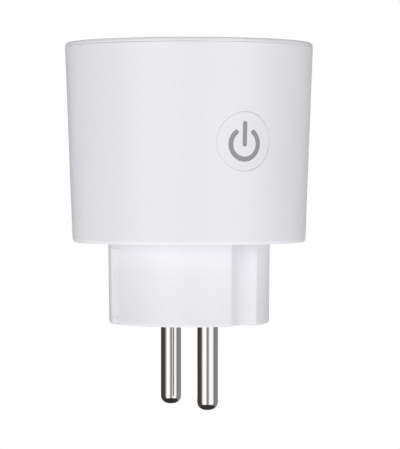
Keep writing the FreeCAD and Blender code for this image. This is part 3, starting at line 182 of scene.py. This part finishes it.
MATERIALS = {
    "white_shell": moulded("white_shell_mat", WHITE, 0.30),
    "symbol_grey": moulded("symbol_grey_mat", (0.30, 0.30, 0.31), 0.40),
    "nickel_pin": metal("nickel_pin_mat", (0.80, 0.79, 0.78), 0.10, along=(1, 1, 0.02)),
    "plated_strip": metal("plated_strip_mat", (0.74, 0.73, 0.70), 0.24),
    "spring_brass": metal("spring_brass_mat", (0.80, 0.60, 0.30), 0.26),
    "zinc_screw": metal("zinc_screw_mat", (0.66, 0.67, 0.70), 0.30),
    "white_nylon": moulded("white_nylon_mat", (0.80, 0.80, 0.77), 0.50),
    "black_plastic": moulded("black_plastic_mat", (0.02, 0.02, 0.022), 0.45),
    "green_board": moulded("green_board_mat", (0.03, 0.17, 0.08), 0.32, grain=900.0),
    "relay_plastic": moulded("relay_plastic_mat", (0.03, 0.09, 0.26), 0.30),
    "soft_iron": metal("soft_iron_mat", (0.52, 0.52, 0.51), 0.34),
    "winding_copper": metal("winding_copper_mat", (0.66, 0.30, 0.14), 0.30, along=(0.05, 0.05, 1)),
    "capacitor_sleeve": moulded("capacitor_sleeve_mat", (0.03, 0.03, 0.05), 0.28),
    "yellow_case": moulded("yellow_case_mat", (0.76, 0.50, 0.06), 0.30),
    "blue_ceramic": moulded("blue_ceramic_mat", (0.05, 0.14, 0.38), 0.24),
    "lamp_epoxy": moulded("lamp_epoxy_mat", (0.86, 0.86, 0.80), 0.15),
}
FERRITE = moulded("ferrite_mat", (0.045, 0.042, 0.042), 0.62, grain=1500.0, relief=0.25)

# Nodes whose finish differs from the rest of their slot
FINISHES = {
    "button_cap": moulded("cap_white_mat", (0.847, 0.844, 0.860), 0.30),
    "plug_earth_strap": metal("pale_tin_mat", (0.945, 0.94, 0.955), 0.50, plating=0.08),
}


def dress(piece, material):
    """Gives a mesh one material."""
    piece.data.materials.clear()
    piece.data.materials.append(material)


for row in frame["record"]["subparts"]:
    finish = FINISHES.get(row["node"], MATERIALS[row["material_slot"]])
    dress(frame["nodes"][row["node"]], finish)


# Wound and crimped pieces ---------------------------------------------------------------

# Millimetres, the same as the nodes' own sizes.
BOARD_TOP = 25.0
RELAY_BARREL = 2.62
RELAY_WIRE = 0.3
# The inductor's wire, the height and rounding of its rims, the room between rim and wire, and
# the barrel and the winding as shares of the rim's radius.
INDUCTOR_WIRE = 0.45
INDUCTOR_RIM = 1.2
INDUCTOR_EDGE = 0.2
INDUCTOR_GAP = 0.02
BARREL_SHARE = 0.5
WINDING_SHARE = 0.85
# The shutter's coil: radius of its wire, rise from end to end, and length of a leg.
COIL_WIRE = 0.18
COIL_RISE = 0.85
COIL_LEG = 1.0
# Where its first leg stands and how far its wire goes round, in degrees.
COIL_START = 20
COIL_SWEEP = 680
COIL_STEPS = 120
COIL_SIDES = 10
# Smoothing capacitors: centre x and y, radius, height.
CAPACITORS = ((-9.5, 8.0, 4.0, 12.0), (-9.0, 16.5, 3.15, 11.0))
# How far a sleeve's crimp goes in, and the heights at which it starts, is deepest and ends.
CRIMP_DEPTH = 0.28
CRIMP_HEIGHTS = (0.9, 1.2, 1.5, 1.8)
SLEEVE_FOOT = 0.25
# The sleeve's shoulder and lip, and the bare top inside it, as steps (inward, downward) from
# the capacitor's top edge.
SLEEVE_SHOULDER = ((0, 0.35), (0.12, 0.1), (0.4, 0), (0.7, 0), (0.75, 0.12))
BARE_TOP = ((0.8, 0.11), (0.9, 0.04))
DIMPLE_SHARE = 0.15
DIMPLE_DEPTH = 0.08
# Closes a turned profile just off its axis.
NEAR_AXIS = 0.01
TURNED_STEPS = 48
# Where a turn of wire is sampled and how deep the groove between turns is, as shares of its pitch.
TURN_SHARES = (0.06, 0.2, 0.5, 0.8, 0.94)
TURN_GROOVE = 0.45
SHARP_ANGLE = math.radians(40)


def make_piece(name, corners, faces, material, node_name, slot_name):
    """A smooth-shaded mesh that stands for a node fixed in the housing."""
    mesh = bpy.data.meshes.new(name)
    mesh.from_pydata(corners, [], faces)
    mesh.materials.append(material)
    mesh.shade_smooth()
    mesh.set_sharp_from_angle(angle=SHARP_ANGLE)
    piece = bpy.data.objects.new(name, mesh)
    bpy.context.scene.collection.objects.link(piece)
    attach(piece, "housing")
    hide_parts(node_name)


def turned_mesh(profiles):
    """Corners in metres and faces of closed profiles turned about upright axes.

    Each profile is its axis (x, y) and its points (radius, height), which go round once,
    in millimetres.
    """
    corners, faces = [], []
    for (x, y), points in profiles:
        first = len(corners)
        count = len(points)
        for step in range(TURNED_STEPS):
            angle = 2 * math.pi * step / TURNED_STEPS
            for radius, height in points:
                corners.append((
                    (x + radius * math.cos(angle)) * MM,
                    (y + radius * math.sin(angle)) * MM,
                    height * MM,
                ))
        for step in range(TURNED_STEPS):
            here, there = first + step * count, first + (step + 1) % TURNED_STEPS * count
            for index in range(count):
                after = (index + 1) % count
                faces.append((here + index, there + index, there + after, here + after))
    return corners, faces


def wound_profile(inner, outer, low, high, wire):
    """The section of a coil whose outside shows its turns of wire."""
    turns = round((high - low) / wire)
    pitch = (high - low) / turns
    points = [(inner, low)]
    for turn in range(turns):
        for share in TURN_SHARES:
            hollow = pitch * TURN_GROOVE * (1 - math.sin(math.pi * share))
            points.append((outer - hollow, low + (turn + share) * pitch))
    return points + [(inner, high)]


def box_mm(node_name):
    """A node's box as two corners in millimetres."""
    low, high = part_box(node_name)
    return Vector(low) / MM, Vector(high) / MM


def make_relay_winding():
    """The relay's coil with its turns of wire showing."""
    low, high = box_mm("relay_winding")
    middle = (low + high) / 2
    section = wound_profile(RELAY_BARREL, (high.x - low.x) / 2, low.z, high.z, RELAY_WIRE)
    corners, faces = turned_mesh([((middle.x, middle.y), section)])
    copper = MATERIALS["winding_copper"]
    make_piece("relay_turns", corners, faces, copper, "relay_winding", "winding_copper")


def make_inductor():
    """The inductor: a ferrite bobbin with one layer of thick wire between its rims."""
    low, high = box_mm("inductor")
    middle = (low + high) / 2
    rim = (high.x - low.x) / 2
    barrel = rim * BARREL_SHARE
    inset = rim - INDUCTOR_EDGE
    half = [
        (NEAR_AXIS, 0), (inset, 0), (rim, INDUCTOR_EDGE),
        (rim, INDUCTOR_RIM - INDUCTOR_EDGE), (inset, INDUCTOR_RIM), (barrel, INDUCTOR_RIM),
    ]
    core = [(radius, low.z + up) for radius, up in half]
    core += [(radius, high.z - up) for radius, up in reversed(half)]
    clear = INDUCTOR_RIM + INDUCTOR_GAP
    wound = rim * WINDING_SHARE
    turns = wound_profile(barrel, wound, low.z + clear, high.z - clear, INDUCTOR_WIRE)
    place = (middle.x, middle.y)
    make_piece(
        "inductor_core", *turned_mesh([(place, core)]), FERRITE, "inductor", "black_plastic"
    )
    make_piece(
        "inductor_turns", *turned_mesh([(place, turns)]), MATERIALS["winding_copper"],
        "inductor", "winding_copper",
    )


def make_capacitors():
    """The two smoothing capacitors: crimped sleeves with bare aluminium tops."""
    sleeves, tops = [], []
    for x, y, radius, height in CAPACITORS:
        low, high = BOARD_TOP, BOARD_TOP + height
        crimp_start, crimp_in, crimp_out, crimp_end = (low + up for up in CRIMP_HEIGHTS)
        waist = radius - CRIMP_DEPTH
        shoulder = [(radius - inward, high - down) for inward, down in SLEEVE_SHOULDER]
        bare = [(radius - inward, high - down) for inward, down in BARE_TOP]
        sleeves.append(((x, y), [
            (NEAR_AXIS, low), (radius - SLEEVE_FOOT, low), (radius, low + SLEEVE_FOOT),
            (radius, crimp_start), (waist, crimp_in), (waist, crimp_out), (radius, crimp_end),
            *shoulder, (NEAR_AXIS, shoulder[-1][1]),
        ]))
        tops.append(((x, y), [
            (NEAR_AXIS, bare[0][1]), *bare,
            (radius * DIMPLE_SHARE, bare[-1][1]), (NEAR_AXIS, high - DIMPLE_DEPTH),
        ]))
    make_piece(
        "capacitor_sleeves", *turned_mesh(sleeves), MATERIALS["capacitor_sleeve"],
        "smoothing_capacitors", "capacitor_sleeve",
    )
    make_piece(
        "capacitor_tops", *turned_mesh(tops), MATERIALS["plated_strip"],
        "smoothing_capacitors", "plated_strip",
    )


def tube_mesh(path, radius, sides):
    """Corners in metres and faces of a round wire, closed at both ends.

    Its path and its radius are in millimetres.
    """
    corners, faces = [], []
    for index, point in enumerate(path):
        before, after = path[max(index - 1, 0)], path[min(index + 1, len(path) - 1)]
        along = (after - before).normalized()
        across = along.cross(Vector((0, 0, 1))).normalized()
        up = across.cross(along)
        for side in range(sides):
            turn = 2 * math.pi * side / sides
            offset = across * math.cos(turn) + up * math.sin(turn)
            corners.append((point + offset * radius) * MM)
    for index in range(len(path) - 1):
        for side in range(sides):
            here, after = index * sides + side, index * sides + (side + 1) % sides
            faces.append((here, after, after + sides, here + sides))
    faces.append(tuple(reversed(range(sides))))
    faces.append(tuple(range(len(corners) - sides, len(corners))))
    return corners, faces


def make_shutter_coil():
    """The shutter's torsion spring as turns of round wire with two bent legs."""
    low, high = box_mm("shutter_spring")
    start = math.radians(COIL_START)
    radius = high.x - COIL_WIRE
    foot = low.z + COIL_WIRE
    path = [Vector(((radius - COIL_LEG) * math.cos(start), radius * math.sin(start), foot))]
    for step in range(COIL_STEPS + 1):
        share = step / COIL_STEPS
        angle = start + math.radians(COIL_SWEEP) * share
        place = (radius * math.cos(angle), radius * math.sin(angle), foot + COIL_RISE * share)
        path.append(Vector(place))
    end = path[-1]
    path.append(Vector((end.x - COIL_LEG, end.y, end.z)))
    corners, faces = tube_mesh(path, COIL_WIRE, COIL_SIDES)
    steel = MATERIALS["zinc_screw"]
    make_piece("shutter_coil", corners, faces, steel, "shutter_spring", "zinc_screw")


make_relay_winding()
make_inductor()
make_capacitors()
make_shutter_coil()


# Stage ----------------------------------------------------------------------------------

# The camera stands in front and to the left of the button, level with the lower drum.
VIEW_AZIMUTH = math.radians(-26.9)
TO_CAMERA = Vector((math.sin(VIEW_AZIMUTH), -math.cos(VIEW_AZIMUTH), 0))
TO_RIGHT = Vector((math.cos(VIEW_AZIMUTH), math.sin(VIEW_AZIMUTH), 0))
CAMERA_DISTANCE = 0.580
CAMERA_HEIGHT = 0.0347
CAMERA_LENS = 198.0
CAMERA_NEAR = 0.01
AIM_DROP = 0.0116
AIM_RIGHT = 0.00258

SOFTBOX_SIZE = 0.7
SOFTBOX_DISTANCE = 1.1
# Soft lights: name, degrees to the right of the camera, degrees up, watts.
SOFTBOXES = (
    ("rim_light", -110, 30, 1.7),
    ("left_light", -75, 30, 0.8),
    ("right_light", 50, 30, 1.84),
    ("key_light", -20, 2, 4.6),
    ("fill_light", 40, 2, 1.4),
    ("top_light", 0, 89, 3.5),
    ("back_light", 175, 12, 2.0),
)

ROOM_COLOUR = (0.985, 0.99, 1.0, 1)
ROOM_GLOW = 0.09
# The floor is a light table: its radius, its colour with a faint speckle, and its own light.
FLOOR_RADIUS = 6.0
FLOOR_CORNERS = 96
FLOOR_COLOUR = (0.90, 0.90, 0.905)
FLOOR_ROUGHNESS = 0.9
FLOOR_SPECKLE = 220.0
SPECKLE_STRAY = 0.004
FLOOR_GLOW = 0.573
# What the camera sees of the room and the floor.
PURE_WHITE = (1, 1, 1, 1)
SEEN_WHITE = 1.0


def make_camera():
    """A long lens close to level, with the object a little left of the middle."""
    data = bpy.data.cameras.new("camera")
    data.lens = CAMERA_LENS
    data.clip_start = CAMERA_NEAR
    camera = bpy.data.objects.new("camera", data)
    camera.location = TO_CAMERA * CAMERA_DISTANCE + Vector((0, 0, CAMERA_HEIGHT))
    aim = TO_RIGHT * AIM_RIGHT + Vector((0, 0, CAMERA_HEIGHT - AIM_DROP))
    camera.rotation_euler = (aim - camera.location).to_track_quat("-Z", "Y").to_euler()
    bpy.context.scene.collection.objects.link(camera)
    bpy.context.scene.camera = camera


def softbox(name, turn, rise, strength):
    """A square soft light aimed at the drum, turned from the camera's side and raised."""
    data = bpy.data.lights.new(name, "AREA")
    data.size = SOFTBOX_SIZE
    data.energy = strength
    lamp = bpy.data.objects.new(name, data)
    level = TO_CAMERA * math.cos(math.radians(turn)) + TO_RIGHT * math.sin(math.radians(turn))
    direction = level * math.cos(math.radians(rise)) + Vector((0, 0, math.sin(math.radians(rise))))
    lamp.location = direction * SOFTBOX_DISTANCE
    lamp.rotation_euler = (-direction).to_track_quat("-Z", "Y").to_euler()
    lamp.visible_glossy = False
    bpy.context.scene.collection.objects.link(lamp)


def white_when_seen(tree, lit, white, output):
    """Shows plain white to the camera, and the lit shader to every other ray."""
    white.inputs["Color"].default_value = PURE_WHITE
    white.inputs["Strength"].default_value = SEEN_WHITE
    path = add_node(tree, "ShaderNodeLightPath")
    by_sight = add_node(tree, "ShaderNodeMixShader")
    tree.links.new(path.outputs["Is Camera Ray"], by_sight.inputs[0])
    tree.links.new(lit.outputs[0], by_sight.inputs[1])
    tree.links.new(white.outputs[0], by_sight.inputs[2])
    tree.links.new(by_sight.outputs[0], output.inputs["Surface"])


def make_world():
    """An even pale room, white where the camera sees it."""
    world = bpy.data.worlds.new("room")
    world.use_nodes = True
    tree = world.node_tree
    room = tree.nodes["Background"]
    room.inputs["Color"].default_value = ROOM_COLOUR
    room.inputs["Strength"].default_value = ROOM_GLOW
    white = add_node(tree, "ShaderNodeBackground")
    white_when_seen(tree, room, white, tree.nodes["World Output"])
    bpy.context.scene.world = world


def make_floor():
    """A wide white light table just under the pin tips."""
    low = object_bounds()[0][2]
    bpy.ops.mesh.primitive_circle_add(
        vertices=FLOOR_CORNERS, radius=FLOOR_RADIUS, fill_type="NGON", location=(0, 0, low)
    )
    floor = bpy.context.object
    floor.name = "floor"
    material, tree, shader = new_material("floor_mat")
    speckle = object_noise(tree, FLOOR_SPECKLE)
    tree.links.new(tint(tree, speckle, FLOOR_COLOUR, SPECKLE_STRAY), shader.inputs["Base Color"])
    shader.inputs["Roughness"].default_value = FLOOR_ROUGHNESS
    shader.inputs["Specular IOR Level"].default_value = 0.0
    shader.inputs["Emission Color"].default_value = PURE_WHITE
    shader.inputs["Emission Strength"].default_value = FLOOR_GLOW
    white = add_node(tree, "ShaderNodeEmission")
    white_when_seen(tree, shader, white, tree.nodes["Material Output"])
    floor.data.materials.append(material)
    floor.visible_glossy = False


def mirror_only(piece):
    """Lets a stage piece show in reflections and nowhere else."""
    piece.visible_camera = False
    piece.visible_diffuse = False
    piece.visible_shadow = False
    piece.visible_transmission = False


RING_RADIUS = 0.30
RING_LOW = -0.24
RING_HIGH = 0.87
RING_CORNERS = 128
PIT_CORNERS = 64
PIT_TONE = 0.034
# The dark cards are a little brown.
DARK_TONE = 0.1
WARM_DARK = (1.4, 1.15, 1.05)
# Degrees round the ring from the camera's side to the right, and how bright the ring is there.
RING_TONES = (
    (-180, 0.03), (-84, 0.055), (-70, 0.12), (-58, 0.70), (-48, 1.25), (-22, 1.30), (-10, 0.60),
    (0, 0.20), (10, 0.42), (22, 1.15), (54, 1.25), (66, 0.62), (78, 0.20), (100, 0.30), (180, 0.24),
)


def make_mirror_ring():
    """A ring of cards round the object that only reflections see: white, grey and black."""
    bpy.ops.mesh.primitive_cylinder_add(
        vertices=RING_CORNERS,
        radius=RING_RADIUS,
        depth=RING_HIGH - RING_LOW,
        end_fill_type="NOTHING",
        location=(0, 0, (RING_HIGH + RING_LOW) / 2),
    )
    ring = bpy.context.object
    ring.name = "mirror_ring"
    ring.rotation_euler = (0, 0, VIEW_AZIMUTH)
    material = bpy.data.materials.new("mirror_ring_mat")
    material.use_nodes = True
    tree = material.node_tree
    tree.nodes.clear()
    # The ring's own -Y side faces the camera, so the angle from there is that of (x, -y).
    where = add_node(tree, "ShaderNodeTexCoord")
    parts = add_node(tree, "ShaderNodeSeparateXYZ")
    turn = add_node(tree, "ShaderNodeMath", operation="ARCTAN2")
    back = add_node(tree, "ShaderNodeMath", operation="MULTIPLY")
    back.inputs[1].default_value = -1
    share = add_node(tree, "ShaderNodeMapRange")
    share.inputs["From Min"].default_value = -math.pi
    share.inputs["From Max"].default_value = math.pi
    ramp = add_node(tree, "ShaderNodeValToRGB")
    light = add_node(tree, "ShaderNodeEmission")
    output = add_node(tree, "ShaderNodeOutputMaterial")
    tree.links.new(where.outputs["Object"], parts.inputs[0])
    tree.links.new(parts.outputs["X"], turn.inputs[0])
    tree.links.new(parts.outputs["Y"], back.inputs[0])
    tree.links.new(back.outputs[0], turn.inputs[1])
    tree.links.new(turn.outputs[0], share.inputs["Value"])
    tree.links.new(share.outputs["Result"], ramp.inputs["Fac"])
    tree.links.new(ramp.outputs["Color"], light.inputs["Color"])
    tree.links.new(light.outputs[0], output.inputs["Surface"])
    stops = ramp.color_ramp.elements
    while len(stops) > 1:
        stops.remove(stops[-1])
    for index, (angle, tone) in enumerate(RING_TONES):
        place = (angle + 180) / 360
        stop = stops[0] if index == 0 else stops.new(place)
        stop.position = place
        warmth = WARM_DARK if tone < DARK_TONE else (1, 1, 1)
        stop.color = (*(tone * channel for channel in warmth), 1)
    ring.data.materials.append(material)
    mirror_only(ring)


def make_mirror_pit():
    """The dark disc at the foot of the ring, which the pin tips mirror."""
    bpy.ops.mesh.primitive_circle_add(
        vertices=PIT_CORNERS, radius=RING_RADIUS, fill_type="NGON", location=(0, 0, RING_LOW)
    )
    pit = bpy.context.object
    pit.name = "mirror_pit"
    material, tree, shader = new_material("mirror_pit_mat")
    shader.inputs["Base Color"].default_value = (0, 0, 0, 1)
    shader.inputs["Specular IOR Level"].default_value = 0.0
    shader.inputs["Emission Color"].default_value = (*WARM_DARK, 1)
    shader.inputs["Emission Strength"].default_value = PIT_TONE
    pit.data.materials.append(material)
    mirror_only(pit)


make_camera()
make_world()
make_floor()
make_mirror_ring()
make_mirror_pit()
for light in SOFTBOXES:
    softbox(*light)
bpy.context.scene.view_settings.view_transform = "Standard"
